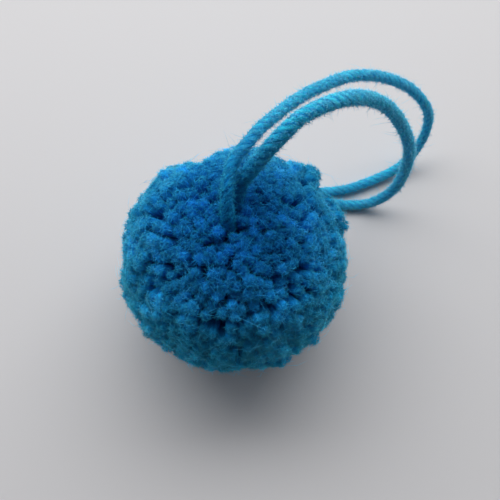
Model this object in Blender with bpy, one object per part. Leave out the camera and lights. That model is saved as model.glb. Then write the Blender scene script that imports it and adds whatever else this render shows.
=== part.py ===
"""A yarn pom pom with the two free ends of its tie, in metres, +Z up.

The ball is one solid: its cut yarn is gathered into four-sided locks whose roots are fused in a core.
It sits on a small flat spot of shorter locks. Both tie ends leave the core through a parting at the top,
arch out to one side and come down to lie on the surface behind the ball.
"""

import math
import random

import bmesh
import bpy
from mathutils import Matrix, Vector
from mathutils.geometry import interpolate_bezier
from mathutils.kdtree import KDTree

MM = 0.001

# Driving dimensions of the ball.
BALL_RADIUS = 30.2 * MM
CENTRE_HEIGHT = 28.5 * MM
CORE_RADIUS = 20.5 * MM
LOCKS_PER_SIDE = 7
ROOT_GAP = 0.5 * MM
SHOULDER_DROP = 2.8 * MM
SHOULDER_WIDTH = 0.93
END_WIDTH = 0.56
END_TURN = math.radians(22)
LENGTH_SPREAD = 0.55 * MM
CORNER_JITTER = 0.17
RESTING_MARGIN = 0.35 * MM
SHARP_ANGLE = math.radians(50)

# The parting that the tie comes out of, and the even patches round it and under the ball.
PARTING_TURN = math.radians(75)
PARTING_PINCH = 0.74
PARTING_REACH = math.radians(52)
EVEN_PATCH = math.radians(10)

# Locks beside the tie are cut back, by this much at a time, until they leave it room.
TIE_ROOM = 0.6 * MM
CUT_STEP = 0.25 * MM
SHORTEST_REACH = 24 * MM
EDGE_SAMPLES = 5

# Driving dimensions of the yarn of the tie.
YARN_RADIUS = 1.7 * MM
PLY_COUNT = 4
PLY_GROOVE = 0.8
PLY_PITCH = 9.6 * MM
STEPS_PER_PITCH = 10
CURVE_SAMPLES = 24
SEAT_GAP = 0.3 * MM
FLOOR_GAP = 0.1 * MM

# Where single locks stand out of the ball or sink into it, as it was trimmed by hand.
# azimuth and elevation in degrees, reach of the bump in degrees, rise in millimetres.
TRIMMING = (
    {"azimuth": 48, "elevation": 15, "reach": 9, "rise": 3.3},
    {"azimuth": 64, "elevation": 18, "reach": 7, "rise": -0.8},
    {"azimuth": 110, "elevation": 19, "reach": 11, "rise": -2.5},
    {"azimuth": 132, "elevation": 15, "reach": 10, "rise": 1.0},
    {"azimuth": 181, "elevation": 0, "reach": 7, "rise": -1.3},
    {"azimuth": 195, "elevation": -5, "reach": 9, "rise": 1.6},
    {"azimuth": 214, "elevation": -11, "reach": 11, "rise": 1.4},
    {"azimuth": 276, "elevation": -20, "reach": 7, "rise": -1.8},
    {"azimuth": 291, "elevation": -19, "reach": 9, "rise": 1.3},
    {"azimuth": 319, "elevation": -13, "reach": 11, "rise": 1.2},
    {"azimuth": 342, "elevation": -6, "reach": 9, "rise": 1.0},
    {"azimuth": 292, "elevation": 40, "reach": 12, "rise": 1.1},
    {"azimuth": 228, "elevation": 52, "reach": 11, "rise": -1.0},
)

# The middle lines of the two tie ends, in millimetres, from the parting to the cut end.
TIE_ROUTES = {
    "tie_end_back": (
        (-0.5, -1.9, 54.0),
        (-0.75, -1.1, 58.0),
        (-0.95, 0.8, 61.2),
        (-0.9, 3.6, 63.3),
        (-0.6, 6.4, 64.4),
        (0.1, 9.4, 65.0),
        (1.6, 12.3, 65.3),
        (3.9, 15.3, 65.3),
        (6.2, 18.7, 65.0),
        (8.8, 21.9, 64.0),
        (15.3, 29.3, 61.0),
        (21.8, 35.7, 57.0),
        (30.6, 43.1, 51.0),
        (40.3, 48.3, 43.5),
        (51.3, 51.6, 33.0),
        (59.5, 51.5, 21.5),
        (60.9, 49.0, 12.5),
        (58.2, 44.9, 6.4),
        (53.9, 41.3, 3.1),
        (47.5, 38.1, 1.9),
        (40.7, 35.3, 1.8),
        (35.6, 33.6, 1.8),
        (31.0, 32.9, 1.8),
        (25.0, 32.4, 1.8),
        (18.5, 31.2, 1.8),
        (12.5, 29.0, 1.8),
    ),
    "tie_end_front": (
        (0.5, 1.9, 51.5),
        (0.7, 2.8, 54.5),
        (1.05, 4.6, 57.5),
        (1.7, 6.4, 60.0),
        (2.9, 7.7, 62.2),
        (4.5, 8.6, 64.8),
        (6.0, 9.3, 67.4),
        (7.8, 10.3, 70.0),
        (10.1, 11.9, 72.5),
        (15.0, 15.7, 75.0),
        (20.6, 19.3, 74.5),
        (26.8, 23.3, 71.0),
        (33.2, 27.5, 64.0),
        (39.4, 30.5, 55.0),
        (44.8, 31.6, 45.0),
        (49.2, 31.6, 34.0),
        (50.8, 31.0, 23.0),
        (50.0, 29.7, 12.5),
        (46.3, 28.5, 5.7),
        (41.6, 28.1, 2.4),
        (36.4, 28.0, 1.8),
        (31.8, 28.4, 1.8),
        (26.5, 27.9, 1.8),
        (21.5, 26.2, 1.8),
        (17.5, 23.2, 1.8),
    ),
}

# Colours as linear RGB.
YARN_BLUE = (0.012, 0.19, 0.42)
TIE_BLUE = (0.016, 0.25, 0.48)
WOOL_ROUGHNESS = 0.95

SEED = 11


def clear_scene():
    for obj in list(bpy.data.objects):
        bpy.data.objects.remove(obj)


def wool(name, colour):
    """Matt dyed wool."""
    material = bpy.data.materials.new(name)
    material.use_nodes = True
    shader = material.node_tree.nodes["Principled BSDF"]
    shader.inputs["Base Color"].default_value = (*colour, 1)
    shader.inputs["Roughness"].default_value = WOOL_ROUGHNESS
    shader.inputs["Metallic"].default_value = 0
    return material


def smooth(share):
    """Rises from 0 to 1 with level ends, for a share that is cut to that range."""
    share = min(1.0, max(0.0, share))
    return share * share * (3 - 2 * share)


def direction_of(azimuth, elevation):
    """The unit vector at an azimuth from +X and an elevation above the horizon, in degrees."""
    around, up = math.radians(azimuth), math.radians(elevation)
    return Vector((math.cos(around) * math.cos(up), math.sin(around) * math.cos(up), math.sin(up)))


def lock_grid(rng):
    """A sphere of the core's size about the origin, whose faces are the locks' roots.

    The faces are the even grid of a cube blown up to a sphere. Towards the top it is slid half a lock
    sideways, so that two whole faces flank the pole there and one face is centred under the ball.
    """
    bm = bmesh.new()
    bmesh.ops.create_cube(bm, size=2)
    bmesh.ops.subdivide_edges(bm, edges=bm.edges, cuts=LOCKS_PER_SIDE - 1, use_grid_fill=True)
    lock_angle = math.pi / 2 / LOCKS_PER_SIDE
    for corner in bm.verts:
        blown = Vector(math.tan(c * math.pi / 4) for c in corner.co).normalized()
        slide = lock_angle / 2 * smooth((1 + blown.z) / 2)
        blown.rotate(Matrix.Rotation(slide, 3, "Y"))
        blown.rotate(Matrix.Rotation(PARTING_TURN, 3, "Z"))
        steepness = math.acos(min(1.0, abs(blown.z)))
        loose = smooth((steepness - EVEN_PATCH) / lock_angle)
        jitter = Vector(rng.gauss(0, CORNER_JITTER * lock_angle) for _ in range(3))
        corner.co = (blown + jitter * loose).normalized() * CORE_RADIUS
    return bm


def trimmed_radius(direction, rng):
    """How far the lock in this direction reaches from the ball's centre."""
    radius = BALL_RADIUS + rng.uniform(-1, 1) * LENGTH_SPREAD
    for spot in TRIMMING:
        away = math.degrees(direction.angle(direction_of(spot["azimuth"], spot["elevation"])))
        radius += spot["rise"] * MM * math.exp(-((away / spot["reach"]) ** 2))
    return radius


def pinched(point):
    """Draws the locks round the parting in towards the tie."""
    steepness = point.angle(Vector((0, 0, 1)))
    width = PARTING_PINCH + (1 - PARTING_PINCH) * smooth(steepness / PARTING_REACH)
    return Vector((point.x * width, point.y * width, point.z))


def lifted(point, floor):
    """The point drawn towards the ball's centre until it is no lower than the floor."""
    return point * (floor / point.z) if point.z < floor else point


def narrowed(ring, width, turn):
    """A ring of corners drawn in towards its own middle and turned about it."""
    middle = sum(ring, Vector()) / len(ring)
    spin = Matrix.Rotation(turn, 3, middle)
    return [middle + spin @ (corner - middle) * width for corner in ring]


def extrude_to(bm, face, ring):
    """Extrudes one face of the mesh to a ring of corners, and returns the new end face."""
    end = bmesh.ops.extrude_discrete_faces(bm, faces=[face])["faces"][0]
    for corner, place in zip(end.verts, ring):
        corner.co = place
    return end


def lock_rings(corners, radius, turn):
    """The corners of a lock's shoulder and of its end, for its root's corners and its reach."""
    full = [corner.normalized() * (radius - SHOULDER_DROP) for corner in corners]
    shoulder = narrowed([pinched(corner) for corner in full], SHOULDER_WIDTH, 0)
    outer = [pinched(corner.normalized() * radius) for corner in corners]
    end = narrowed(outer, END_WIDTH, turn)
    floor = -CENTRE_HEIGHT
    middle = sum(end, Vector()) / len(end)
    if middle.z < floor + RESTING_MARGIN:
        end = [corner * (floor / corner.z) for corner in end]
        shoulder = [lifted(corner, floor + SHOULDER_DROP / 2) for corner in shoulder]
    else:
        end = [lifted(corner, floor + RESTING_MARGIN) for corner in end]
    return shoulder, end


def crowds(rings, tie):
    """Whether a lock with these rings of corners comes too near the middle lines of the tie."""
    for low, high in zip(rings, rings[1:]):
        for a, b in zip(low, high):
            for k in range(EDGE_SAMPLES + 1):
                if tie.find(a.lerp(b, k / EDGE_SAMPLES))[2] < YARN_RADIUS + TIE_ROOM:
                    return True
    return False


def grow_lock(bm, root, tie, rng):
    """Grows one lock on its root: a shaft that widens to its shoulder, and a narrower, level end."""
    corners = [corner.co.copy() for corner in root.verts]
    radius = trimmed_radius(sum(corners, Vector()).normalized(), rng)
    turn = rng.uniform(-END_TURN, END_TURN)
    shoulder, end = lock_rings(corners, radius, turn)
    while crowds((corners, shoulder, end), tie) and radius > SHORTEST_REACH:
        radius -= CUT_STEP
        shoulder, end = lock_rings(corners, radius, turn)
    shaft = extrude_to(bm, root, shoulder)
    extrude_to(bm, shaft, end)


def build_ball(lines, material):
    """The ball of locks, on its flat spot. Two roots under the tie are left bare as its seats."""
    spots = [place - Vector((0, 0, CENTRE_HEIGHT)) for line in lines for place in line]
    tie = KDTree(len(spots))
    for i, spot in enumerate(spots):
        tie.insert(spot, i)
    tie.balance()
    rng = random.Random(SEED)
    bm = lock_grid(rng)
    roots = bmesh.ops.inset_individual(bm, faces=bm.faces, thickness=ROOT_GAP / 2)
    rings = set(roots["faces"])
    roots = [face for face in bm.faces if face not in rings]
    by_height = sorted(roots, key=lambda face: -face.calc_center_median().z)
    for root in by_height[2:]:
        grow_lock(bm, root, tie, rng)
    bmesh.ops.translate(bm, verts=bm.verts, vec=(0, 0, CENTRE_HEIGHT))
    mesh = bpy.data.meshes.new("pompom_ball")
    bm.to_mesh(mesh)
    bm.free()
    mesh.materials.append(material)
    mesh.shade_smooth()
    mesh.set_sharp_from_angle(angle=SHARP_ANGLE)
    ball = bpy.data.objects.new("pompom_ball", mesh)
    bpy.context.collection.objects.link(ball)


def smooth_line(points, step):
    """Points a step apart along the smooth curve through the given points, both ends kept."""
    line = []
    last = len(points) - 1
    for i in range(last):
        before, here, there, after = (points[min(last, max(0, i + k))] for k in (-1, 0, 1, 2))
        leave, arrive = here + (there - before) / 6, there - (after - here) / 6
        line += interpolate_bezier(here, leave, arrive, there, CURVE_SAMPLES)[:-1]
    line.append(points[last])
    along = [0.0]
    for a, b in zip(line, line[1:]):
        along.append(along[-1] + (b - a).length)
    count = round(along[-1] / step)
    spaced = []
    at = 0
    for k in range(count + 1):
        want = along[-1] * k / count
        while at < len(line) - 2 and along[at + 1] < want:
            at += 1
        spaced.append(line[at].lerp(line[at + 1], (want - along[at]) / (along[at + 1] - along[at])))
    return spaced


def ply_section():
    """The yarn's section, a lobe for each ply, as a helper curve that sweeps use."""
    curve = bpy.data.curves.new("ply_section", "CURVE")
    spline = curve.splines.new("POLY")
    count = 2 * PLY_COUNT
    spline.points.add(count - 1)
    for i, point in enumerate(spline.points):
        radius = YARN_RADIUS * (PLY_GROOVE if i % 2 else 1)
        angle = -2 * math.pi * i / count
        point.co = (radius * math.cos(angle), radius * math.sin(angle), 0, 1)
    spline.use_cyclic_u = True
    section = bpy.data.objects.new("ply_section", curve)
    section.hide_render = True
    section.display_type = "WIRE"
    bpy.context.collection.objects.link(section)
    return section


def tie_line(route):
    """The middle line of a tie end, from its seat on the core to its cut end, never below the surface."""
    seat = Vector((route[0][0] * MM, route[0][1] * MM, CENTRE_HEIGHT + CORE_RADIUS + SEAT_GAP))
    points = [seat] + [Vector(place) * MM for place in route]
    lowest = YARN_RADIUS + FLOOR_GAP
    line = smooth_line(points, PLY_PITCH / STEPS_PER_PITCH)
    return [Vector((place.x, place.y, max(place.z, lowest))) for place in line]


def build_tie_end(name, line, section, material):
    """One free end of the tie: plied yarn, twisted along its whole length."""
    curve = bpy.data.curves.new(name, "CURVE")
    curve.dimensions = "3D"
    curve.twist_mode = "MINIMUM"
    curve.bevel_mode = "OBJECT"
    curve.bevel_object = section
    curve.use_fill_caps = True
    spline = curve.splines.new("POLY")
    spline.points.add(len(line) - 1)
    for i, (point, place) in enumerate(zip(spline.points, line)):
        point.co = (*place, 1)
        point.tilt = -2 * math.pi * i / STEPS_PER_PITCH
    spline.use_smooth = True
    curve.materials.append(material)
    tie_end = bpy.data.objects.new(name, curve)
    bpy.context.collection.objects.link(tie_end)


def main():
    clear_scene()
    lines = {name: tie_line(route) for name, route in TIE_ROUTES.items()}
    build_ball(lines.values(), wool("pile_yarn", YARN_BLUE))
    section = ply_section()
    tie_yarn = wool("tie_yarn", TIE_BLUE)
    for name, line in lines.items():
        build_tie_end(name, line, section, tie_yarn)


main()
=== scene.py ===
"""Looks of a yarn pom pom and the two free ends of its tie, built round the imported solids. Metres, +Z up.

The pile is some thirteen hundred cut ends of yarn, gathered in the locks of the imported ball, and each end
carries its own fine fibres. The tie is four-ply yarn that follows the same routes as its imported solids.
"""

import math

import bpy
import numpy as np
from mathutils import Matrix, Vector
from mathutils.geometry import interpolate_bezier


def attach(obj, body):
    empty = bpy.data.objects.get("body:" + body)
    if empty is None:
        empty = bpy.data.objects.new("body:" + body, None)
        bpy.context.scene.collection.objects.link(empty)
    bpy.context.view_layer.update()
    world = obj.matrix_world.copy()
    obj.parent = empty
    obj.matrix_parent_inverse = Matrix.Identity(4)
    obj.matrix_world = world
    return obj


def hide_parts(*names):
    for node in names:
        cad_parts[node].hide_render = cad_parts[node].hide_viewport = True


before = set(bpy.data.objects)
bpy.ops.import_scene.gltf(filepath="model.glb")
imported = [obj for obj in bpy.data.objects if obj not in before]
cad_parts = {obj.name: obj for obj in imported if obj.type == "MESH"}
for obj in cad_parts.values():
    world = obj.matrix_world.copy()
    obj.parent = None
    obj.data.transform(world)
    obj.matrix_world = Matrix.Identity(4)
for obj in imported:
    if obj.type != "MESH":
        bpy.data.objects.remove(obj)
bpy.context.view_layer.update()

MM = 0.001
MAP_NAME = "OFBake"
TIE_SEED = 5
PILE_SEED = 8

# The shortest length to divide by, and how upright an axis is before another helper is taken for it.
TINY = 1e-6
UPRIGHT = 0.9

# The ball as packed.
BALL_NODE = "pompom_ball"
BALL_CENTRE = np.array((0.0, 0.0, 28.5)) * MM
BALL_RADIUS = 30.2 * MM

# The photograph's view: where the ball's middle shows and how long the lens is, in pixels of its frame.
FRAME_PX = 500
FOCAL_PX = 640
BALL_AT_PX = (234.5, 259.0)
CAMERA_ELEVATION = math.radians(70)
CAMERA_DISTANCE = 175 * MM
NEAREST_SEEN = 5 * MM
SENSOR_WIDTH = 36.0

# The window, in metres and watts.
WINDOW_AT = (-0.02, 0.28, 0.425)
WINDOW_SIZE = (0.9, 0.30)
WINDOW_POWER = 2.85
WINDOW_COLOUR = (1.0, 0.985, 0.96)

# The light from all round, and its brightness away from its bright side and on it.
SURROUND_COLOUR = (0.95, 0.97, 1.0)
BRIGHT_SIDE = (-0.1, 0.93, -0.24)
SURROUND_DIM = 0.02
SURROUND_BRIGHT = 0.97

# The floor, in metres.
FLOOR_REACH = 1.5
FLOOR_COLOUR = (0.605, 0.600, 0.615)
FLOOR_ROUGHNESS = 0.7
FLOOR_SPECULAR = 0.2

# How near the floor the tie ends and any point of a mesh may come, and the height below which fibres are
# left out.
FLOOR_GAP = 0.1 * MM
LOWEST_POINT = FLOOR_GAP / 2
LOWEST_FIBRE = 2 * FLOOR_GAP

# The tie's yarn.
YARN_RADIUS = 1.7 * MM
PLY_COUNT = 4
PLY_OFFSET = 0.3
PLY_PITCH = 9.6 * MM
STRAND_STEP = 0.45 * MM
STRAND_SIDES = 24
SEAT_HEIGHT = 49.3 * MM
CURVE_SAMPLES = 24

# How uneven the yarn is. A drift has its step along the yarn and its spread.
TWIST_DRIFT = (9 * MM, 0.35)
THICKNESS_DRIFT = (4 * MM, 0.045)
SURFACE_SPREAD = 0.035

# The cut end of the yarn: how far back it narrows, by what share, and how far its tip stands out.
CUT_LENGTH = 0.8 * MM
CUT_NARROWING = 0.35
CUT_TIP = 0.5 * MM

# How thick each tie end is at the ball and at its cut end, as shares of the yarn's radius.
STRAND_SHARES = {"tie_end_back": (0.86, 0.82), "tie_end_front": (1.06, 0.84)}

# The middle lines of the two tie ends, in millimetres, from the parting to the cut end, as packed.
TIE_ROUTES = {
    "tie_end_back": (
        (-0.5, -1.9, 54.0),
        (-0.75, -1.1, 58.0),
        (-0.95, 0.8, 61.2),
        (-0.9, 3.6, 63.3),
        (-0.6, 6.4, 64.4),
        (0.1, 9.4, 65.0),
        (1.6, 12.3, 65.3),
        (3.9, 15.3, 65.3),
        (6.2, 18.7, 65.0),
        (8.8, 21.9, 64.0),
        (15.3, 29.3, 61.0),
        (21.8, 35.7, 57.0),
        (30.6, 43.1, 51.0),
        (40.3, 48.3, 43.5),
        (51.3, 51.6, 33.0),
        (59.5, 51.5, 21.5),
        (60.9, 49.0, 12.5),
        (58.2, 44.9, 6.4),
        (53.9, 41.3, 3.1),
        (47.5, 38.1, 1.9),
        (40.7, 35.3, 1.8),
        (35.6, 33.6, 1.8),
        (31.0, 32.9, 1.8),
        (25.0, 32.4, 1.8),
        (18.5, 31.2, 1.8),
        (12.5, 29.0, 1.8),
    ),
    "tie_end_front": (
        (0.5, 1.9, 51.5),
        (0.7, 2.8, 54.5),
        (1.05, 4.6, 57.5),
        (1.7, 6.4, 60.0),
        (2.9, 7.7, 62.2),
        (4.5, 8.6, 64.8),
        (6.0, 9.3, 67.4),
        (7.8, 10.3, 70.0),
        (10.1, 11.9, 72.5),
        (15.0, 15.7, 75.0),
        (20.6, 19.3, 74.5),
        (26.8, 23.3, 71.0),
        (33.2, 27.5, 64.0),
        (39.4, 30.5, 55.0),
        (44.8, 31.6, 45.0),
        (49.2, 31.6, 34.0),
        (50.8, 31.0, 23.0),
        (50.0, 29.7, 12.5),
        (46.3, 28.5, 5.7),
        (41.6, 28.1, 2.4),
        (36.4, 28.0, 1.8),
        (31.8, 28.4, 1.8),
        (26.5, 27.9, 1.8),
        (21.5, 26.2, 1.8),
        (17.5, 23.2, 1.8),
    ),
}

# Where the ball was trimmed longer or shorter, as packed.
# azimuth and elevation in degrees, reach of the spot in degrees, rise in millimetres.
TRIMMING = (
    {"azimuth": 48, "elevation": 15, "reach": 9, "rise": 3.3},
    {"azimuth": 64, "elevation": 18, "reach": 7, "rise": -0.8},
    {"azimuth": 110, "elevation": 19, "reach": 11, "rise": -2.5},
    {"azimuth": 132, "elevation": 15, "reach": 10, "rise": 1.0},
    {"azimuth": 181, "elevation": 0, "reach": 7, "rise": -1.3},
    {"azimuth": 195, "elevation": -5, "reach": 9, "rise": 1.6},
    {"azimuth": 214, "elevation": -11, "reach": 11, "rise": 1.4},
    {"azimuth": 276, "elevation": -20, "reach": 7, "rise": -1.8},
    {"azimuth": 291, "elevation": -19, "reach": 9, "rise": 1.3},
    {"azimuth": 319, "elevation": -13, "reach": 11, "rise": 1.2},
    {"azimuth": 342, "elevation": -6, "reach": 9, "rise": 1.0},
    {"azimuth": 292, "elevation": 40, "reach": 12, "rise": 1.1},
    {"azimuth": 228, "elevation": 52, "reach": 11, "rise": -1.0},
)

# Finer spots of the same kind, each a few cut ends wide: tufts, holes and the valleys between locks.
FINE_TRIMMING = (
    {"azimuth": 114, "elevation": 30, "reach": 10, "rise": -2.5},
    {"azimuth": 113, "elevation": 42, "reach": 9, "rise": -2.2},
    {"azimuth": 56, "elevation": 27, "reach": 5, "rise": -2.0},
    {"azimuth": 44, "elevation": 25, "reach": 5, "rise": 3.0},
    {"azimuth": 135, "elevation": 24, "reach": 7, "rise": -1.5},
    {"azimuth": 185, "elevation": 9, "reach": 6, "rise": -1.2},
    {"azimuth": 276, "elevation": -9, "reach": 5, "rise": -1.5},
    {"azimuth": 276, "elevation": 2, "reach": 5, "rise": -1.5},
    {"azimuth": 289, "elevation": -9, "reach": 5, "rise": 0.8},
    {"azimuth": 328, "elevation": 0, "reach": 14, "rise": 0.6},
    {"azimuth": 247, "elevation": 59, "reach": 4, "rise": 0.9},
    {"azimuth": 295, "elevation": 59, "reach": 5, "rise": 1.1},
    {"azimuth": 316, "elevation": 71, "reach": 4, "rise": -2.0},
    {"azimuth": 313, "elevation": 61, "reach": 4, "rise": -2.0},
    {"azimuth": 313, "elevation": 49, "reach": 6, "rise": -2.6},
    {"azimuth": 276, "elevation": 52, "reach": 4, "rise": -1.6},
    {"azimuth": 276, "elevation": 41, "reach": 4, "rise": -1.8},
    {"azimuth": 277, "elevation": 28, "reach": 4, "rise": -1.3},
    {"azimuth": 244, "elevation": 77, "reach": 4, "rise": -2.0},
    {"azimuth": 293, "elevation": 83, "reach": 4, "rise": -2.0},
    {"azimuth": 325, "elevation": 78, "reach": 4, "rise": -2.0},
    {"azimuth": 288, "elevation": 75, "reach": 3, "rise": -1.6},
    {"azimuth": 169, "elevation": 53, "reach": 4, "rise": -1.8},
    {"azimuth": 139, "elevation": 68, "reach": 4, "rise": -1.5},
)

# Where the pile parts and its cut ends lean away, so that their flanks show, with the push in millimetres.
PARTINGS = (
    {"azimuth": 169, "elevation": 52, "reach": 9, "push": 1.8},
    {"azimuth": 142, "elevation": 66, "reach": 8, "push": 1.3},
    {"azimuth": 313, "elevation": 50, "reach": 8, "push": 1.3},
    {"azimuth": 215, "elevation": 40, "reach": 8, "push": 1.2},
    {"azimuth": 262, "elevation": 38, "reach": 8, "push": 1.0},
    {"azimuth": 20, "elevation": 50, "reach": 9, "push": 1.2},
    {"azimuth": 60, "elevation": 5, "reach": 10, "push": 0.7},
    {"azimuth": 120, "elevation": -20, "reach": 10, "push": 1.0},
    {"azimuth": 345, "elevation": 20, "reach": 9, "push": 1.2},
)

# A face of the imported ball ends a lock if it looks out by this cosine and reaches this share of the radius.
# Faces nearer to each other than SAME_LOCK go together, so a broad lock counts as two halves.
LOCK_FACING = 0.93
LOCK_REACH = 0.88
SAME_LOCK = 1.7 * MM

# The cut ends of the pile: their roots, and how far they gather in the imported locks.
END_COUNT = 1330
END_ROOT = 18.5 * MM
END_JITTER = 0.14
GATHER = 0.06
GATHER_SPREAD = 0.09

# How uneven their tips are, one by one and lock by lock, and how much wilder they are at the ball's sides.
HEIGHT_SPREAD = 0.28 * MM
HEIGHT_LIMITS = (-2.0, 1.7)
LEAN = 0.35 * MM
RIM_WILDNESS = 0.8
TUFT_RISE = 0.6 * MM
FUZZ = 0.35 * MM
LOCK_UNEVENNESS = 0.3 * MM
LOWEST_TIP = 0.35 * MM

# How they part round a tie end, looked at in these places of their length: kept clear, and left out within.
PARTED_AT = (1.0, 0.8, 0.6)
STRAND_CLEARANCE = 0.5 * MM
STRAND_MIDDLE = 0.5 * YARN_RADIUS

# Each cut end has its own cell of the map, with a margin round its place there.
MAP_CELLS = 37
CELL_MARGIN = 0.06
FIBRE_MAP_WIDTH = 0.01

# Outline of one cut end's body, from deep in the pile up to its top: millimetres below the tip, and radius.
END_SHAPE = (
    {"below": 9.0, "radius": 1.10},
    {"below": 4.6, "radius": 1.42},
    {"below": 2.3, "radius": 1.46},
    {"below": 1.15, "radius": 1.08},
)
BODY_TOP = 0.68
DEEPEST = END_SHAPE[0]["below"]

# The body's sides, its plies, and how uneven it is.
END_SIDES = 8
BODY_PLIES = 0.1
BODY_SPREAD = 0.08
RAGGED_ABOVE = 3 * MM
RAGGED = 0.35 * MM
RAGGED_SPREAD = 0.6
SIZE_SPREAD = 0.08
SIZE_LIMITS = (0.8, 1.2)

# The round top that the fibres of a cut end make: its radius, its depth in millimetres and how round it is.
END_RADIUS = 1.58 * MM
DOME = 1.4
DOME_EDGE = 0.95

# The fibres of each cut end. Depths and the spread of their lean aside are in millimetres, and places are
# shares of its radius.
FIBRE_PIECES = 4
FIBRE_RADIUS = 0.085 * MM
FIBRE_ASIDE = 0.45

# Those that stand in it as a brush. The depth of their tips below its round top has a middle and a spread.
BRUSH_FIBRES = 15
BRUSH_ROOT_DEPTH = (1.6, 2.8)
BRUSH_TIP_DEPTH = (-0.12, 0.28)
BRUSH_ROOT_PLACE = 0.66
BRUSH_TIP_PLACE = 1.1

# Those that run down its side: more for each millimetre that it stands above its neighbours, up to a limit.
SIDE_FIBRES = 36
SIDE_ROOT_DEPTH = (3.2, 6.5)
SIDE_TIP_DEPTH = (0.8, 2.4)
SIDE_ROOT_PLACE = 0.75
SIDE_TIP_PLACE = (0.85, 1.05)
EXPOSED_MORE = 2
MOST_EXPOSED = 2
NEIGHBOURS = 8

# Those that curl over its crown, with depths below its round top. The depth of their tips, and how much
# farther out these lie than their roots, have a middle and a spread each.
CROWN_FIBRES = 76
CROWN_ROOT_DEPTH = (0.3, 0.7)
CROWN_TIP_DEPTH = (-0.08, 0.25)
CROWN_REACH = (0.15, 0.45)
CROWN_FARTHEST = 1.5
CROWN_ASIDE = 0.75

# The fibres that stray over the pile: in millimetres, how deep they start under a tip, and the shape and
# scale of the gamma spread of their lengths.
STRAY_COUNT = 4500
STRAY_DEPTH = (0.2, 1.0)
STRAY_LENGTH = (3.0, 1.0)

# How steeply they set out, how far they bend aside and droop in shares of their length, and where they lie
# in the cell of their cut end.
STRAY_RISE = (0.15, 0.9)
STRAY_BEND = 0.5
STRAY_DROOP = (0.1, 0.55)
STRAY_ROUND = (0, 0.95)
STRAY_ALONG = 0.97

# The middle of the pile, painted dark as shade.
HEART_RADIUS = 24.8 * MM
HEART_LUMPS = 0.35 * MM
HEART_ROWS = 22
HEART_COLUMNS = 44

# The fibres of each tie end: laid along its plies, standing off it as fuzz, and long.
LAID_FIBRES = 5000
FUZZ_HAIRS = 12000
LONG_HAIRS = 200
LAID_RADIUS = 0.055 * MM
FUZZ_RADIUS = 0.07 * MM
HAIR_RADIUS = 0.035 * MM

# Where they start, as a share of the yarn's radius, and how far round they borrow their colour, in turns.
HAIR_DEPTH = 0.97
HAIR_SHIFT = 0.5

# Their directions, as spreads across the yarn and ranges of the rise away from it.
LAID_ACROSS = 0.35
LAID_RISE = (0, 0.22)
LOOSE_ACROSS = 0.9
LOOSE_RISE = (0.4, 2.0)

# Their lengths in millimetres: a range, or the shape and scale of a gamma spread.
LAID_LENGTH = (0.9, 1.9)
FUZZ_LENGTH = (3.0, 0.24)
LONG_LENGTH = (3.5, 0.7)

# How far they bend, by chance and back towards the yarn, as shares of their length.
LAID_BEND = 0.12
LAID_DROOP = 0.35
LOOSE_BEND = 0.5
LOOSE_DROOP = 0.1

# The share of the fuzz that frays out of the cut end, from its last steps.
FRAYED_SHARE = 0.04
FRAYED_STEPS = 5
FRAYED_DEPTH = (0.1, 0.9)
FRAYED_RISE = (0, 0.45)
FRAYED_LENGTH = (1.0, 2.6)

# How many straight parts a long fibre has, and by what share of its radius it narrows over its length.
NEEDLE_PARTS = 3
NEEDLE_TAPER = 0.45


def unit(vectors):
    return vectors / np.linalg.norm(vectors, axis=-1, keepdims=True)


def dot(a, b):
    return (a * b).sum(-1, keepdims=True)


def sideways(axes):
    """Two unit vectors square to each axis and to each other, right-handed with it."""
    helper = np.where(np.abs(axes[..., 2:]) < UPRIGHT, (0.0, 0.0, 1.0), (1.0, 0.0, 0.0))
    first = unit(np.cross(helper, axes))
    return first, np.cross(axes, first)


def directions_of(rows):
    """Unit vectors at the rows' azimuths from +X and elevations above the horizon."""
    around = np.radians([row["azimuth"] for row in rows])
    up = np.radians([row["elevation"] for row in rows])
    return np.stack([np.cos(around) * np.cos(up), np.sin(around) * np.cos(up), np.sin(up)], 1)


def even_directions(count):
    """Unit vectors spread evenly over a sphere, on a spiral."""
    i = np.arange(count) + 0.5
    up = 1 - 2 * i / count
    around = i * math.pi * (3 - math.sqrt(5))
    level = np.sqrt(1 - up * up)
    return np.stack([level * np.cos(around), level * np.sin(around), up], 1)


def tubes(rings, tips, around, along):
    """Closed tubes, as points, corners, corners to a face and each corner's place on the map.

    rings is tube by ring by side by 3, from root to tip. around holds each tube's places round it, one more
    than its sides, and along those from its root to its tip, one more than its rings.
    """
    count, levels, sides, _ = rings.shape
    points = np.concatenate([rings.reshape(count, levels * sides, 3), tips[:, None]], 1)
    side = np.arange(sides)
    after = (side + 1) % sides
    low = np.arange(levels - 1)[:, None] * sides
    walls = np.stack([low + side, low + after, low + sides + after, low + sides + side], -1)
    top = (levels - 1) * sides
    ends = np.stack([top + side, top + after, np.full(sides, levels * sides)], -1)
    local = np.concatenate([walls.ravel(), ends.ravel(), side[::-1]])
    counts = np.concatenate([np.full((levels - 1) * sides, 4), np.full(sides, 3), [sides]])
    level = np.broadcast_to(np.arange(levels - 1)[:, None], (levels - 1, sides))
    wide = np.broadcast_to(side, level.shape)
    wall_u = np.stack([wide, wide + 1, wide + 1, wide], -1).ravel()
    wall_v = np.stack([level, level, level + 1, level + 1], -1).ravel()
    end_u = np.stack([side, side + 1, side], -1).ravel()
    end_v = np.tile([levels - 1, levels - 1, levels], sides)
    u = around[:, np.concatenate([wall_u, end_u, side[::-1]])]
    v = along[:, np.concatenate([wall_v, end_v, np.zeros(sides, int)])]
    corners = local + np.arange(count)[:, None] * (levels * sides + 1)
    places = np.stack([u, v], -1)
    return points.reshape(-1, 3), corners.ravel(), np.tile(counts, count), places.reshape(-1, 2)


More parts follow.
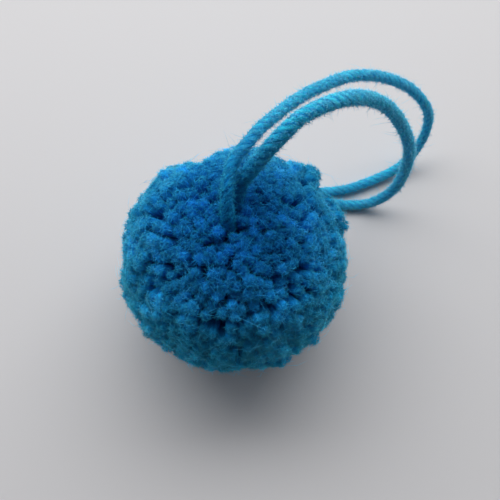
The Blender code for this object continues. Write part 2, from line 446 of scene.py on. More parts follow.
def fibre_places(u, wide, points, corners):
    """Each corner's place on the map, for fibres whose points have the given places along it."""
    across = u[:, None] + np.array(wide) * FIBRE_MAP_WIDTH / MAP_CELLS
    return np.stack([across[:, corners], points[:, corners]], -1).reshape(-1, 2)


def slivers(roots, heads, lengths, radius, u, low, high):
    """Straight fibres, three corners wide at their roots and pointed at their tips, as tubes() gives them.

    u is each fibre's place across the map, and low and high are those of its root and its tip along it.
    """
    first, second = sideways(heads)
    turn = 2 * math.pi * np.arange(3) / 3
    ring = np.cos(turn)[:, None] * first[:, None] + np.sin(turn)[:, None] * second[:, None]
    tips = roots + heads * lengths[:, None]
    points = np.concatenate([roots[:, None] + ring * radius, tips[:, None]], 1)
    keep = points[..., 2].max(1) > LOWEST_FIBRE
    points, u, low, high = points[keep], u[keep], low[keep], high[keep]
    local = np.array(((0, 1, 3), (1, 2, 3), (2, 0, 3), (2, 1, 0))).ravel()
    corners = local + 4 * np.arange(len(points))[:, None]
    places = fibre_places(u, (-1, 0, 1, 0), np.stack([low, low, low, high], 1), local)
    return points.reshape(-1, 3), corners.ravel(), np.full(4 * len(points), 3), places


def spindles(roots, heads, lengths, bends, radius, u, low, high):
    """Bent fibres, pointed at both ends and three corners wide in their middles, as tubes() gives them."""
    first, second = sideways(heads)
    middles = roots + (heads / 2 + bends / 4) * lengths[:, None]
    tips = roots + (heads + bends) * lengths[:, None]
    turn = 2 * math.pi * np.arange(3) / 3
    ring = np.cos(turn)[:, None] * first[:, None] + np.sin(turn)[:, None] * second[:, None]
    points = np.concatenate([roots[:, None], middles[:, None] + ring * radius, tips[:, None]], 1)
    keep = points[..., 2].max(1) > LOWEST_FIBRE
    points, u, low, high = points[keep], u[keep], low[keep], high[keep]
    local = np.array(((2, 1, 0), (3, 2, 0), (1, 3, 0), (1, 2, 4), (2, 3, 4), (3, 1, 4))).ravel()
    corners = local + 5 * np.arange(len(points))[:, None]
    middle = (low + high) / 2
    places = fibre_places(u, (0, -1, 0, 1, 0), np.stack([low, middle, middle, middle, high], 1), local)
    return points.reshape(-1, 3), corners.ravel(), np.full(6 * len(points), 3), places


def joined(batches):
    """Several results of tubes() as one."""
    points, corners, counts, places = zip(*batches)
    starts = np.cumsum([0] + [len(p) for p in points[:-1]])
    shifted = [c + start for c, start in zip(corners, starts)]
    return np.concatenate(points), np.concatenate(shifted), np.concatenate(counts), np.concatenate(places)


def new_piece(name, batch, material, nodes):
    """A smooth mesh piece that rides on the part and stands for the given CAD nodes."""
    points, corners, counts, places = batch
    points[:, 2] = np.maximum(points[:, 2], LOWEST_POINT)
    mesh = bpy.data.meshes.new(name)
    mesh.vertices.add(len(points))
    mesh.vertices.foreach_set("co", points.astype(np.float32).ravel())
    mesh.loops.add(len(corners))
    mesh.loops.foreach_set("vertex_index", corners.astype(np.int32))
    mesh.polygons.add(len(counts))
    mesh.polygons.foreach_set("loop_start", (np.cumsum(counts) - counts).astype(np.int32))
    mesh.update(calc_edges=True)
    mesh.uv_layers.new(name=MAP_NAME).uv.foreach_set("vector", places.astype(np.float32).ravel())
    mesh.shade_smooth()
    mesh.materials.append(material)
    piece = bpy.data.objects.new(name, mesh)
    bpy.context.scene.collection.objects.link(piece)
    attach(piece, "root")
    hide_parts(*nodes)
    print(name, "triangles", int((counts - 2).sum()))
    return piece


# Materials

class Nodes:
    """Adds shader nodes to a new material and links them."""

    def __init__(self, name):
        self.material = bpy.data.materials.new(name)
        self.material.use_nodes = True
        self.tree = self.material.node_tree
        self.shader = self.tree.nodes["Principled BSDF"]

    def add(self, kind, inputs=(), **settings):
        node = self.tree.nodes.new("ShaderNode" + kind)
        for key, value in settings.items():
            setattr(node, key, value)
        for key, value in dict(inputs).items():
            if isinstance(value, bpy.types.NodeSocket):
                self.tree.links.new(value, node.inputs[key])
            else:
                node.inputs[key].default_value = value
        return node

    def math(self, operation, *values):
        return self.add("Math", enumerate(values), operation=operation).outputs[0]

    def vector(self, operation, *values):
        return self.add("VectorMath", enumerate(values), operation=operation).outputs[0]

    def scaled(self, value, low, high):
        """A value that runs from 0 to 1, made to run from low to high."""
        return self.add("MapRange", {"Value": value, "To Min": low, "To Max": high}).outputs[0]

    def ramp(self, share, stops):
        node = self.add("ValToRGB", {"Fac": share})
        elements = node.color_ramp.elements
        while len(elements) < len(stops):
            elements.new(0.5)
        for element, (position, colour) in zip(elements, stops):
            element.position = position
            element.color = (*colour, 1)
        return node.outputs["Color"]

    def noise(self, vector, scale, detail=2.0):
        return self.add("TexNoise", {"Vector": vector, "Scale": scale, "Detail": detail}).outputs["Fac"]

    def times(self, vector, value):
        """A colour or a vector times a value."""
        return self.add("VectorMath", {0: vector, 3: value}, operation="SCALE").outputs[0]

    def roughen(self, height, distance):
        """Bump of the given depth from a height that runs from 0 to 1."""
        node = self.add("Bump", {"Height": height, "Distance": distance})
        self.tree.links.new(node.outputs["Normal"], self.shader.inputs["Normal"])

    def finish(self, colour, roughness, sheen, glow, depth):
        """Wool of the given colour, with light that passes through it down to a depth."""
        inputs = self.shader.inputs
        self.tree.links.new(colour, inputs["Base Color"])
        inputs["Roughness"].default_value = roughness
        inputs["Specular IOR Level"].default_value = WOOL_SPECULAR
        inputs["Sheen Weight"].default_value = sheen
        inputs["Sheen Roughness"].default_value = SHEEN_ROUGHNESS
        inputs["Sheen Tint"].default_value = (*SHEEN_TINT, 1)
        inputs["Subsurface Weight"].default_value = glow
        inputs["Subsurface Radius"].default_value = GLOW_SPREAD
        inputs["Subsurface Scale"].default_value = depth
        return self.material


# What all the wool shares.
WOOL_ROUGHNESS = 0.9
WOOL_SPECULAR = 0.05
SHEEN_ROUGHNESS = 0.5
SHEEN_TINT = (0.04, 0.48, 0.90)
GLOW_SPREAD = (0.3, 0.8, 1.0)
FIBRE_GLOW = 0.35

# The pile's sheen, how deep its glow goes, and the glow, bump and lightness of its parts; the stray fibres are
# made lighter as a painted highlight.
PILE_SHEEN = 0.25
PILE_GLOW_DEPTH = 0.8 * MM
BODY_GLOW = 0.3
BODY_BUMP = 0.5 * MM
BODY_LIGHTNESS = 0.81
FIBRE_LIGHTNESS = 0.85
STRAY_HIGHLIGHT_LIGHTNESS = 1.5

# How light one cut end is against another, at random, few of them near the light end of the range: these light
# ends are painted highlights.
END_LIGHTNESS = (0.88, 1.5)
FEW_PAINTED_HIGHLIGHTS = 4.0

# Streaks of dye: repeats round and along a cut end, and how dark and light they are.
PILE_STREAKS = (22.0, 5.0, 1.0)
PILE_CONTRAST = (0.4, 1.6)
STREAK_DETAIL = 3.0

# Colour of the pile up to its tips, with painted shade that darkens it deeper down towards its roots, as
# shares of the length of a cut end.
PILE_COLOUR_AND_DEPTH_SHADE = (
    (0.0, (0.001, 0.080, 0.380)),
    (0.45, (0.001, 0.120, 0.480)),
    (0.75, (0.004, 0.240, 0.690)),
    (0.86, (0.008, 0.310, 0.770)),
    (0.95, (0.012, 0.350, 0.800)),
    (1.0, (0.018, 0.380, 0.830)),
)

# Painted light on the pile from its sides up to its top: lighter and tealer at its sides as a painted rim
# light, darker and bluer at its top as painted shade, and where it runs from and to, as sines of the
# elevation.
PAINTED_RIM_FROM = 0.18
PAINTED_RIM_TO = 0.95
PAINTED_RIM_LIGHT = (
    (0.0, (3.35, 1.95, 1.31)),
    (0.75, (1.3, 1.04, 1.04)),
    (1.0, (0.5, 0.59, 0.84)),
)


def pile_material(name, lightness, glow, bump=0.0):
    """Dyed wool with painted light: painted shade darker between the cut ends and deeper down, brighter at
    their tips, uneven from end to end and streaked, and painted lighter or darker by height on the ball.
    """
    nodes = Nodes(name)
    place = nodes.add("UVMap", uv_map=MAP_NAME).outputs["UV"]
    grid = nodes.times(place, MAP_CELLS)
    cell = nodes.vector("FLOOR", grid)
    along = nodes.add("SeparateXYZ", {0: nodes.vector("FRACTION", grid)}).outputs["Y"]
    shade = nodes.add("TexWhiteNoise", {"Vector": cell}, noise_dimensions="2D").outputs["Value"]
    # A few cut ends made much lighter at random, as painted highlights.
    shade = nodes.math("POWER", shade, FEW_PAINTED_HIGHLIGHTS)
    streaks = nodes.noise(nodes.vector("MULTIPLY", grid, PILE_STREAKS), 1.0, STREAK_DETAIL)
    dark, light = END_LIGHTNESS
    # Painted shade: darker deeper down each cut end.
    colour = nodes.ramp(along, PILE_COLOUR_AND_DEPTH_SHADE)
    colour = nodes.times(colour, nodes.scaled(shade, dark * lightness, light * lightness))
    colour = nodes.times(colour, nodes.scaled(streaks, *PILE_CONTRAST))
    # Painted light by height: the pile is made lighter at the ball's sides and darker at its top.
    out = nodes.vector("SUBTRACT", nodes.add("TexCoord").outputs["Object"], BALL_CENTRE)
    height = nodes.add("SeparateXYZ", {0: nodes.vector("NORMALIZE", out)}).outputs["Z"]
    height = nodes.add("MapRange", {"Value": height, "From Min": PAINTED_RIM_FROM, "From Max": PAINTED_RIM_TO}).outputs[0]
    colour = nodes.vector("MULTIPLY", colour, nodes.ramp(height, PAINTED_RIM_LIGHT))
    if bump:
        nodes.roughen(streaks, bump)
    return nodes.finish(colour, WOOL_ROUGHNESS, PILE_SHEEN, glow, PILE_GLOW_DEPTH)


# The middle's colours, dark as painted shade, and its patches to a metre.
HEART_PAINTED_SHADE = ((0.3, (0.001, 0.05, 0.20)), (0.7, (0.003, 0.10, 0.36)))
HEART_PATCHES = 900.0
HEART_ROUGHNESS = 0.95
HEART_SHEEN = 0.1


def heart_material():
    nodes = Nodes("pile_roots")
    place = nodes.add("TexCoord").outputs["Object"]
    colour = nodes.ramp(nodes.noise(place, HEART_PATCHES), HEART_PAINTED_SHADE)
    return nodes.finish(colour, HEART_ROUGHNESS, HEART_SHEEN, 0.0, PILE_GLOW_DEPTH)


# The tie's sheen and glow, and the depth of the grain on its yarn.
TIE_SHEEN = 0.12
YARN_GLOW = 0.8
TIE_GLOW_DEPTH = 1.6 * MM
GRAIN_BUMP = 0.5 * MM

# Repeats of its streaks, patches and grain round and along a tie end, and how dark and light they are.
TIE_STREAKS = (24.0, 160.0, 1.0)
TIE_CONTRAST = (0.35, 1.65)
TIE_PATCHES = (1.0, 14.0, 1.0)
PATCH_CONTRAST = (0.8, 1.2)
TIE_GRAIN = (60.0, 420.0, 1.0)

# Colour across one ply of the tie, from the crease to its crown, darker in the crease as painted shade.
PLY_COLOUR_AND_CREASE_SHADE = (
    (0.0, (0.020, 0.410, 0.760)),
    (0.4, (0.034, 0.570, 0.920)),
    (1.0, (0.044, 0.640, 0.970)),
)

# Painted shade on a tie end, dark inside the pile and fading out up to where it is in the open, by share of
# its length.
EXIT_PAINTED_SHADE = (
    (0.05, (0.05, 0.30, 0.55)),
    (0.12, (0.25, 0.55, 0.75)),
    (0.22, (1.0, 1.0, 1.0)),
)


def tie_material(name, plain):
    """Plied wool, with painted shade in the creases between its plies and where it goes into the pile. plain
    is for its hairs, which have no creases.
    """
    nodes = Nodes(name)
    place = nodes.add("UVMap", uv_map=MAP_NAME).outputs["UV"]
    parts = nodes.add("SeparateXYZ", {0: place})
    turn = nodes.math("MULTIPLY", parts.outputs["X"], 2 * math.pi * PLY_COUNT)
    # Painted shade: the colour darkens towards the creases between the plies.
    crown = nodes.math("MULTIPLY_ADD", nodes.math("COSINE", turn), 0.5, 0.5)
    streaks = nodes.noise(nodes.vector("MULTIPLY", place, TIE_STREAKS), 1.0, STREAK_DETAIL)
    patches = nodes.noise(nodes.vector("MULTIPLY", place, TIE_PATCHES), 1.0)
    colour = nodes.ramp(1.0 if plain else crown, PLY_COLOUR_AND_CREASE_SHADE)
    colour = nodes.times(colour, nodes.scaled(streaks, *TIE_CONTRAST))
    colour = nodes.times(colour, nodes.scaled(patches, *PATCH_CONTRAST))
    # Painted shade where the tie end goes into the pile.
    colour = nodes.vector("MULTIPLY", colour, nodes.ramp(parts.outputs["Y"], EXIT_PAINTED_SHADE))
    if not plain:
        grain = nodes.noise(nodes.vector("MULTIPLY", place, TIE_GRAIN), 1.0, STREAK_DETAIL)
        nodes.roughen(grain, GRAIN_BUMP)
    glow = FIBRE_GLOW if plain else YARN_GLOW
    return nodes.finish(colour, WOOL_ROUGHNESS, TIE_SHEEN, glow, TIE_GLOW_DEPTH)


def floor_material():
    nodes = Nodes("floor_paper")
    nodes.shader.inputs["Base Color"].default_value = (*FLOOR_COLOUR, 1)
    nodes.shader.inputs["Roughness"].default_value = FLOOR_ROUGHNESS
    nodes.shader.inputs["Specular IOR Level"].default_value = FLOOR_SPECULAR
    return nodes.material


# The view, the light and the floor

def set_camera():
    """The photograph's view: nearly from above, with the ball left of and below the middle."""
    back = Vector((0, -math.cos(CAMERA_ELEVATION), math.sin(CAMERA_ELEVATION)))
    up = Vector((0, math.sin(CAMERA_ELEVATION), math.cos(CAMERA_ELEVATION)))
    right = Vector((1, 0, 0))
    per_px = CAMERA_DISTANCE / FOCAL_PX
    aside = (FRAME_PX / 2 - BALL_AT_PX[0]) * per_px
    raised = (BALL_AT_PX[1] - FRAME_PX / 2) * per_px
    data = bpy.data.cameras.new("camera")
    data.sensor_width = SENSOR_WIDTH
    data.lens = SENSOR_WIDTH * FOCAL_PX / FRAME_PX
    data.clip_start = NEAREST_SEEN
    camera = bpy.data.objects.new("camera", data)
    camera.location = Vector(BALL_CENTRE) + back * CAMERA_DISTANCE + right * aside + up * raised
    camera.rotation_euler = back.to_track_quat("Z", "Y").to_euler()
    bpy.context.scene.collection.objects.link(camera)
    bpy.context.scene.camera = camera


def light_all_round():
    """Pale light from all round: bright towards the window, dim overhead and on the viewer's side."""
    world = bpy.data.worlds.new("surroundings")
    world.use_nodes = True
    tree = world.node_tree
    place = tree.nodes.new("ShaderNodeTexCoord")
    facing = tree.nodes.new("ShaderNodeVectorMath")
    facing.operation = "DOT_PRODUCT"
    facing.inputs[1].default_value = BRIGHT_SIDE
    brightness = tree.nodes.new("ShaderNodeMapRange")
    brightness.interpolation_type = "SMOOTHSTEP"
    brightness.inputs["From Min"].default_value = -1
    brightness.inputs["To Min"].default_value = SURROUND_DIM
    brightness.inputs["To Max"].default_value = SURROUND_BRIGHT
    background = tree.nodes["Background"]
    background.inputs["Color"].default_value = (*SURROUND_COLOUR, 1)
    tree.links.new(place.outputs["Generated"], facing.inputs[0])
    tree.links.new(facing.outputs["Value"], brightness.inputs["Value"])
    tree.links.new(brightness.outputs["Result"], background.inputs["Strength"])
    bpy.context.scene.world = world


def set_light():
    """Daylight from a window beyond the top of the picture, and from all round."""
    light_all_round()
    bpy.context.scene.view_settings.view_transform = "Standard"
    data = bpy.data.lights.new("window", "AREA")
    data.shape = "RECTANGLE"
    data.size, data.size_y = WINDOW_SIZE
    data.energy = WINDOW_POWER
    data.color = WINDOW_COLOUR
    window = bpy.data.objects.new("window", data)
    window.location = WINDOW_AT
    aim = Vector(BALL_CENTRE) - window.location
    window.rotation_euler = aim.to_track_quat("-Z", "Y").to_euler()
    bpy.context.scene.collection.objects.link(window)


def lay_floor():
    mesh = bpy.data.meshes.new("floor")
    corners = [(x * FLOOR_REACH, y * FLOOR_REACH, 0) for x, y in ((-1, -1), (1, -1), (1, 1), (-1, 1))]
    mesh.from_pydata(corners, [], [(0, 1, 2, 3)])
    mesh.materials.append(floor_material())
    floor = bpy.data.objects.new("floor", mesh)
    bpy.context.scene.collection.objects.link(floor)


# The tie

def smooth_line(route, step):
    """Points about a step apart along the smooth curve through a route, from the seat on."""
    seat = Vector((route[0][0] * MM, route[0][1] * MM, SEAT_HEIGHT))
    points = [seat] + [Vector(place) * MM for place in route]
    last = len(points) - 1
    line = []
    for i in range(last):
        before, here, there, after = (points[min(last, max(0, i + k))] for k in (-1, 0, 1, 2))
        leave, arrive = here + (there - before) / 6, there - (after - here) / 6
        line += interpolate_bezier(here, leave, arrive, there, CURVE_SAMPLES)[:-1]
    line = np.array(line + [points[last]])
    along = np.concatenate([[0], np.cumsum(np.linalg.norm(np.diff(line, axis=0), axis=1))])
    wanted = np.linspace(0, along[-1], round(along[-1] / step) + 1)
    spaced = np.stack([np.interp(wanted, along, line[:, i]) for i in range(3)], 1)
    spaced[:, 2] = np.maximum(spaced[:, 2], YARN_RADIUS + FLOOR_GAP)
    return spaced, along[-1]


def carried_frames(line):
    """The line's directions, and two sideways vectors that are carried along it without turning."""
    heading = unit(np.gradient(line, axis=0))
    first = sideways(heading[:1])[0]
    sides = [first[0]]
    for direction in heading[1:]:
        kept = sides[-1] - direction * (sides[-1] @ direction)
        sides.append(kept / np.linalg.norm(kept))
    sides = np.array(sides)
    return heading, sides, np.cross(heading, sides)


def ply_radius(angle):
    """The yarn's radius at an angle from the crown of a ply: round lobes with creases between them."""
    half = math.pi / PLY_COUNT
    lobe = (angle + half) % (2 * half) - half
    offset, radius = PLY_OFFSET * YARN_RADIUS, (1 - PLY_OFFSET) * YARN_RADIUS
    return offset * np.cos(lobe) + np.sqrt(radius**2 - (offset * np.sin(lobe)) ** 2)


def slow_noise(along, step, spread, rng):
    """Numbers about 1 that drift from one value to the next over each step of the length."""
    knots = np.arange(0, along[-1] + 2 * step, step)
    return np.interp(along, knots, rng.normal(1, spread, len(knots)))


def make_strand(name, line, material, rng):
    """One tie end as plied, twisted yarn that is a little thicker and thinner along its length."""
    heading, first, second = carried_frames(line)
    levels = len(line)
    along = np.arange(levels) * STRAND_STEP
    turn = 2 * math.pi * np.arange(STRAND_SIDES) / STRAND_SIDES
    twist = 2 * math.pi * along[:, None] / PLY_PITCH
    angle = turn + twist + slow_noise(along, *TWIST_DRIFT, rng)[:, None]
    share = np.linspace(*STRAND_SHARES[name], levels) * slow_noise(along, *THICKNESS_DRIFT, rng)
    radius = ply_radius(turn) * share[:, None]
    radius = radius * rng.normal(1, SURFACE_SPREAD, (levels, STRAND_SIDES))
    cut = np.clip((along - along[-1] + CUT_LENGTH) / CUT_LENGTH, 0, 1)
    radius *= 1 - CUT_NARROWING * cut[:, None]
    ring = np.cos(angle)[..., None] * first[:, None] + np.sin(angle)[..., None] * second[:, None]
    rings = line[:, None] + ring * radius[..., None]
    tip = line[-1] + heading[-1] * CUT_TIP
    u = np.arange(STRAND_SIDES + 1) / STRAND_SIDES
    v = np.linspace(0, 1, levels + 1)
    batch = tubes(rings[None], tip[None], u[None], v[None])
    return new_piece(name + "_yarn", batch, material, [name]), (heading, first, second)


def needles(roots, heads, lengths, bends, radius, u, v):
    """Fine three-sided fibres that taper to a point and bend sideways towards it, as tubes() gives them."""
    first, second = sideways(heads)

    def middle(t):
        return roots + (heads * t + bends * t * t) * lengths[:, None]

    turn = 2 * math.pi * np.arange(3) / 3
    ring = np.cos(turn)[:, None] * first[:, None] + np.sin(turn)[:, None] * second[:, None]
    shares = np.arange(NEEDLE_PARTS) / NEEDLE_PARTS
    rings = np.stack([middle(t)[:, None] + ring * radius * (1 - NEEDLE_TAPER * t) for t in shares], 1)
    across = u[:, None] + np.arange(4) * 2 * FIBRE_MAP_WIDTH / MAP_CELLS
    return tubes(rings, middle(1.0), across, np.repeat(v[:, None], NEEDLE_PARTS + 1, 1))


def make_hairs(name, line, frames, material, rng):
    """The fibres of a tie end: laid along its plies, standing off it as fuzz and splayed at its end."""
    heading, first, second = frames
    count = LAID_FIBRES + FUZZ_HAIRS + LONG_HAIRS
    order = np.arange(count)
    laid, long = order < LAID_FIBRES, order >= LAID_FIBRES + FUZZ_HAIRS
    fuzz = ~(laid | long)
    frayed = fuzz & (rng.random(count) < FRAYED_SHARE)
    at = rng.integers(0, len(line), count)
    at = np.where(frayed, len(line) - 1 - rng.integers(0, FRAYED_STEPS, count), at)
    turn = rng.uniform(0, 2 * math.pi, count)
    out = np.cos(turn)[:, None] * first[at] + np.sin(turn)[:, None] * second[at]
    across = np.cross(heading[at], out)
    depth = np.where(frayed, rng.uniform(*FRAYED_DEPTH, count), HAIR_DEPTH)
    depth = depth * np.linspace(*STRAND_SHARES[name], len(line))[at]
    roots = line[at] + out * (YARN_RADIUS * depth)[:, None]
    lay = 2 * math.pi * YARN_RADIUS / PLY_PITCH
    way = rng.choice((-1, 1), (count, 1))
    along_ply = way * (heading[at] + across * rng.normal(lay, LAID_ACROSS, (count, 1)))
    along_ply += out * rng.uniform(*LAID_RISE, (count, 1))
    loose = way * heading[at] + across * rng.normal(0, LOOSE_ACROSS, (count, 1))
    loose += out * rng.uniform(*LOOSE_RISE, (count, 1))
    splayed = heading[at] + out * rng.uniform(*FRAYED_RISE, (count, 1))
    heads = unit(np.where(laid[:, None], along_ply, np.where(frayed[:, None], splayed, loose)))
    lengths = np.where(laid, rng.uniform(*LAID_LENGTH, count), rng.gamma(*FUZZ_LENGTH, count))
    lengths = np.where(long, rng.gamma(*LONG_LENGTH, count), lengths)
    lengths = np.where(frayed, rng.uniform(*FRAYED_LENGTH, count), lengths) * MM
    bends = rng.normal(0, 1, (count, 3)) * np.where(laid, LAID_BEND, LOOSE_BEND)[:, None]
    bends -= out * np.where(laid, LAID_DROOP, LOOSE_DROOP)[:, None]
    bends -= heads * dot(bends, heads)
    v = at / len(line)
    u = (turn / (2 * math.pi) + HAIR_SHIFT * rng.random(count)) % 1

    def picked(chosen, *columns):
        return [values[chosen] for values in columns]

    batches = [
        spindles(*picked(laid, roots, heads, lengths, bends), LAID_RADIUS, *picked(laid, u, v, v)),
        slivers(*picked(fuzz, roots, heads, lengths), FUZZ_RADIUS, *picked(fuzz, u, v, v)),
        needles(*picked(long, roots, heads, lengths, bends), HAIR_RADIUS, *picked(long, u, v)),
    ]
    return new_piece(name + "_hairs", joined(batches), material, [name])


# The pile

def lock_ends(node):
    """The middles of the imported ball's lock ends or their halves: its outer faces that look straight out."""
    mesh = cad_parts[node].data
    count = len(mesh.polygons)
    middles = np.empty(count * 3)
    normals = np.empty(count * 3)
    mesh.polygons.foreach_get("center", middles)
    mesh.polygons.foreach_get("normal", normals)
    out = middles.reshape(-1, 3) - BALL_CENTRE
    reach = np.linalg.norm(out, axis=1)
    facing = dot(unit(out), normals.reshape(-1, 3))[:, 0]
    faces = out[(facing > LOCK_FACING) & (reach > LOCK_REACH * BALL_RADIUS)]
    found = []
    for face in faces:
        near = [i for i, group in enumerate(found) if np.linalg.norm(group[0] - face) < SAME_LOCK]
        if near:
            found[near[0]].append(face)
        else:
            found.append([face])
    return np.array([np.mean(group, axis=0) for group in found])


def trimmed_reach(directions):
    """How far the pile reaches from the ball's centre in each direction."""
    rows = TRIMMING + FINE_TRIMMING
    away = np.degrees(np.arccos(np.clip(directions @ directions_of(rows).T, -1, 1)))
    reach = np.array([row["reach"] for row in rows])
    rise = np.array([row["rise"] for row in rows])
    return BALL_RADIUS + (rise * MM * np.exp(-((away / reach) ** 2))).sum(1)


def parted(directions):
    """How far the tips in each direction are pushed aside where the pile parts, in metres."""
    aside = np.zeros_like(directions)
    for row, middle in zip(PARTINGS, directions_of(PARTINGS)):
        away = np.degrees(np.arccos(np.clip(directions @ middle, -1, 1))) / row["reach"]
        along = directions - middle
        along -= directions * dot(along, directions)
        along /= np.maximum(np.linalg.norm(along, axis=1, keepdims=True), TINY)
        aside += along * (row["push"] * MM * away * np.exp((1 - away * away) / 2))[:, None]
    return aside


def place_ends(locks, strands, rng):
    """Roots and tips of the cut ends: evenly spread, gathered in locks, and parted round the tie."""
    pitch = math.sqrt(4 * math.pi / END_COUNT)
    start = unit(even_directions(END_COUNT) + rng.normal(0, END_JITTER * pitch, (END_COUNT, 3)))
    lock_out = unit(locks)
    extra = np.linalg.norm(locks, axis=1) - trimmed_reach(lock_out)
    nearest = (start @ lock_out.T).argmax(1)
    pull = rng.normal(GATHER, GATHER_SPREAD, (END_COUNT, 1))
    final = unit(start + (lock_out[nearest] - start) * pull)
    reach = trimmed_reach(final) + np.clip(extra[nearest], -LOCK_UNEVENNESS, LOCK_UNEVENNESS)
    wild = 1 + RIM_WILDNESS * (1 - final[:, 2] ** 2)
    reach += rng.normal(0, 1, END_COUNT).clip(*HEIGHT_LIMITS) * HEIGHT_SPREAD * wild**0.5 + FUZZ
    reach += rng.normal(0, TUFT_RISE, len(locks))[nearest] * (wild - 1)
    lean = rng.normal(0, LEAN, (len(locks), 3))[nearest] * wild[:, None]
    lean -= final * dot(lean, final)
    lean += parted(final)
    tips = BALL_CENTRE + unit(final * reach[:, None] + lean) * reach[:, None]
    roots = BALL_CENTRE + start * END_ROOT
    keep = np.ones(END_COUNT, bool)
    for line in strands:
        for share in PARTED_AT:
            spot = roots + (tips - roots) * share
            away = spot[:, None] - line[None]
            far = np.linalg.norm(away, axis=2)
            at = far.argmin(1)
            far = far[np.arange(END_COUNT), at]
            keep &= far > STRAND_MIDDLE
            short = np.maximum(YARN_RADIUS + STRAND_CLEARANCE - far, 0)
            push = away[np.arange(END_COUNT), at] / np.maximum(far, TINY)[:, None]
            tips = tips + push * (short / share)[:, None]
    tips[:, 2] = np.maximum(tips[:, 2], LOWEST_TIP)
    print("cut ends", int(keep.sum()), "locks or halves", len(locks))
    return roots[keep], tips[keep]


def map_cells(count):
    """Where each cut end's own cell of the map starts."""
    i = np.arange(count)
    return np.stack([i % MAP_CELLS, i // MAP_CELLS], 1) / MAP_CELLS


def in_cell(start, share):
    """A place within a cell, kept a little off its edges."""
    return start + (CELL_MARGIN + (1 - 2 * CELL_MARGIN) * share) / MAP_CELLS


def make_ends(roots, tips, sizes, cells, material, rng):
    """The bodies of the cut ends: soft stubs of four plies, whose fibres make their outer layer."""
    count = len(tips)
    axes = unit(tips - roots)
    first, second = sideways(axes)
    below = np.array([row["below"] for row in END_SHAPE]) * MM
    radius = np.array([row["radius"] for row in END_SHAPE]) * MM
    turn = 2 * math.pi * np.arange(END_SIDES) / END_SIDES + rng.uniform(0, 2 * math.pi, (count, 1))
    plies = 1 + BODY_PLIES * np.where(np.arange(END_SIDES) % 2, -1, 1)
    wide = radius[None, :, None] * sizes[:, None, None] * plies
    wide = wide * rng.normal(1, BODY_SPREAD, (count, len(below), END_SIDES))
    ragged = np.where(below < RAGGED_ABOVE, RAGGED, 0)
    ragged = ragged[None, :, None] * rng.normal(0, RAGGED_SPREAD, (count, 1, END_SIDES))
    deep = below[None, :, None] + ragged
    ring = np.cos(turn)[..., None] * first[:, None] + np.sin(turn)[..., None] * second[:, None]
    rings = tips[:, None, None] - axes[:, None, None] * deep[..., None] + ring[:, None] * wide[..., None]
    u = in_cell(cells[:, :1], np.arange(END_SIDES + 1)[None] / END_SIDES)
    share = 1 - np.append(below / MM, BODY_TOP) / DEEPEST
    v = in_cell(cells[:, 1:], share[None])
    tops = tips - axes * BODY_TOP * MM
    return new_piece("pile_cut_ends", tubes(rings, tops, u, v), material, [BALL_NODE])


def dome_depth(place):
    """Millimetres below a cut end's tip of its round top, at a share of its radius from its middle."""
    return DOME * (1 - np.sqrt(1 - DOME_EDGE * place**2))


def exposures(tips):
    """How many millimetres each cut end stands above its nearest neighbours."""
    away = np.linalg.norm(tips[:, None] - tips[None], axis=2)
    nearest = np.argsort(away, axis=1)[:, 1 : NEIGHBOURS + 1]
    reach = np.linalg.norm(tips - BALL_CENTRE, axis=1) / MM
    return reach - reach[nearest].mean(1)


def end_fibres(roots, tips, sizes, cells, exposed, rng):
    """The fibres of the cut ends: brushes in them, long ones down their sides and curls on top."""
    axes = unit(tips - roots)
    first, second = sideways(axes)
    batches = []
    for kind, each in (("brush", BRUSH_FIBRES), ("side", SIDE_FIBRES), ("crown", CROWN_FIBRES)):
        owner = np.repeat(np.arange(len(tips)), each)
        count = len(owner)
        if kind == "side":
            share = 1 + EXPOSED_MORE * np.clip(exposed, 0, MOST_EXPOSED)
            owner = rng.choice(len(tips), count, p=share / share.sum())
        turn = rng.uniform(0, 2 * math.pi, count)
        out = np.cos(turn)[:, None] * first[owner] + np.sin(turn)[:, None] * second[owner]
        axis, across = axes[owner], np.cross(axes[owner], out)
        wide = END_RADIUS / MM * sizes[owner]
        place = np.sqrt(rng.random(count))
        aside = rng.normal(0, FIBRE_ASIDE, count)
        if kind == "brush":
            low = rng.uniform(*BRUSH_ROOT_DEPTH, count)
            high = dome_depth(place) + rng.normal(*BRUSH_TIP_DEPTH, count)
            inner, outer = BRUSH_ROOT_PLACE * place * wide, BRUSH_TIP_PLACE * place * wide
        elif kind == "side":
            low, high = rng.uniform(*SIDE_ROOT_DEPTH, count), rng.uniform(*SIDE_TIP_DEPTH, count)
            inner, outer = SIDE_ROOT_PLACE * wide, rng.uniform(*SIDE_TIP_PLACE, count) * wide
        else:
            far = np.clip(place + rng.normal(*CROWN_REACH, count), 0, CROWN_FARTHEST)
            low = dome_depth(place) + rng.uniform(*CROWN_ROOT_DEPTH, count)
            high = dome_depth(np.minimum(far, 1)) + rng.normal(*CROWN_TIP_DEPTH, count)
            inner, outer, aside = place * wide, far * wide, rng.normal(0, CROWN_ASIDE, count)
        top = tips[owner]
        start = top - (axis * low[:, None] - out * inner[:, None]) * MM
        end = top - (axis * high[:, None] - out * outer[:, None] - across * aside[:, None]) * MM
        lengths = np.linalg.norm(end - start, axis=1)
        heads = (end - start) / lengths[:, None]
        u = in_cell(cells[owner, 0], turn / (2 * math.pi))
        along = [in_cell(cells[owner, 1], np.clip(1 - depth / DEEPEST, 0, 1)) for depth in (low, high)]
        batches.append(slivers(start, heads, lengths, FIBRE_RADIUS, u, *along))
    return joined(batches)


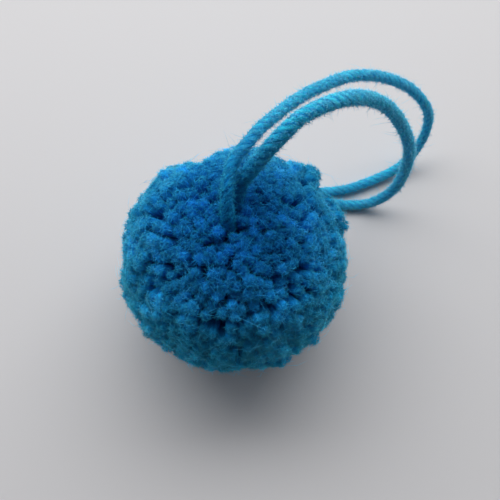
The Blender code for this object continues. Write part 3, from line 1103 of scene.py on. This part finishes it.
def stray_fibres(roots, tips, cells, rng):
    """Long, fine fibres that lie across the pile."""
    owner = rng.integers(0, len(tips), STRAY_COUNT)
    axes = unit(tips - roots)[owner]
    first, second = sideways(axes)
    turn = rng.uniform(0, 2 * math.pi, (STRAY_COUNT, 1))
    level = np.cos(turn) * first + np.sin(turn) * second
    start = tips[owner] - axes * rng.uniform(*STRAY_DEPTH, (STRAY_COUNT, 1)) * MM
    heads = unit(level + axes * rng.uniform(*STRAY_RISE, (STRAY_COUNT, 1)))
    lengths = rng.gamma(*STRAY_LENGTH, STRAY_COUNT) * MM
    bends = np.cross(axes, level) * rng.normal(0, STRAY_BEND, (STRAY_COUNT, 1))
    bends -= axes * rng.uniform(*STRAY_DROOP, (STRAY_COUNT, 1))
    u = in_cell(cells[owner, 0], rng.uniform(*STRAY_ROUND, STRAY_COUNT))
    v = in_cell(cells[owner, 1], STRAY_ALONG)
    return spindles(start, heads, lengths, bends, HAIR_RADIUS, u, v, v)


def make_heart(material, rng):
    """The lumpy middle that shows between the cut ends, painted dark as the shade deep in the pile."""
    up = np.linspace(-math.pi / 2, math.pi / 2, HEART_ROWS + 2)[1:-1]
    around = np.linspace(0, 2 * math.pi, HEART_COLUMNS, endpoint=False)
    level, height = np.cos(up)[:, None], np.sin(up)[:, None]
    out = np.stack([level * np.cos(around), level * np.sin(around), height + 0 * around], -1)
    radius = HEART_RADIUS + rng.normal(0, HEART_LUMPS, (HEART_ROWS, HEART_COLUMNS, 1))
    rings = BALL_CENTRE + out * radius
    tip = BALL_CENTRE + np.array((0, 0, HEART_RADIUS))
    u, v = np.linspace(0, 1, HEART_COLUMNS + 1), np.linspace(0, 1, HEART_ROWS + 1)
    batch = tubes(rings[None], tip[None], u[None], v[None])
    return new_piece("pile_heart", batch, material, [BALL_NODE])


def make_pile(strands, rng):
    locks = lock_ends(BALL_NODE)
    roots, tips = place_ends(locks, strands, rng)
    sizes = rng.normal(1, SIZE_SPREAD, len(tips)).clip(*SIZE_LIMITS)
    cells = map_cells(len(tips))
    make_heart(heart_material(), rng)
    body_wool = pile_material("pile_wool", BODY_LIGHTNESS, BODY_GLOW, BODY_BUMP)
    make_ends(roots, tips, sizes, cells, body_wool, rng)
    fibre_wool = pile_material("pile_fibre", FIBRE_LIGHTNESS, FIBRE_GLOW)
    exposed = exposures(tips)
    around = np.argsort(np.arctan2(tips[:, 1], tips[:, 0]))
    for i, some in enumerate(np.array_split(around, FIBRE_PIECES), 1):
        batch = end_fibres(roots[some], tips[some], sizes[some], cells[some], exposed[some], rng)
        new_piece(f"pile_fibres_{i}", batch, fibre_wool, [BALL_NODE])
    # The stray fibres are painted lighter, as a painted highlight.
    stray_wool = pile_material("pile_hair", STRAY_HIGHLIGHT_LIGHTNESS, FIBRE_GLOW)
    strays = stray_fibres(roots, tips, cells, rng)
    new_piece("pile_stray_fibres", strays, stray_wool, [BALL_NODE])


def main():
    rng = np.random.default_rng(TIE_SEED)
    set_camera()
    set_light()
    lay_floor()
    strands = []
    yarn = tie_material("tie_wool", plain=False)
    hair = tie_material("tie_hair", plain=True)
    for name, route in TIE_ROUTES.items():
        line, length = smooth_line(route, STRAND_STEP)
        strand, frames = make_strand(name, line, yarn, rng)
        hairs = make_hairs(name, line, frames, hair, rng)
        strands.append(line)
    make_pile(strands, np.random.default_rng(PILE_SEED))


main()
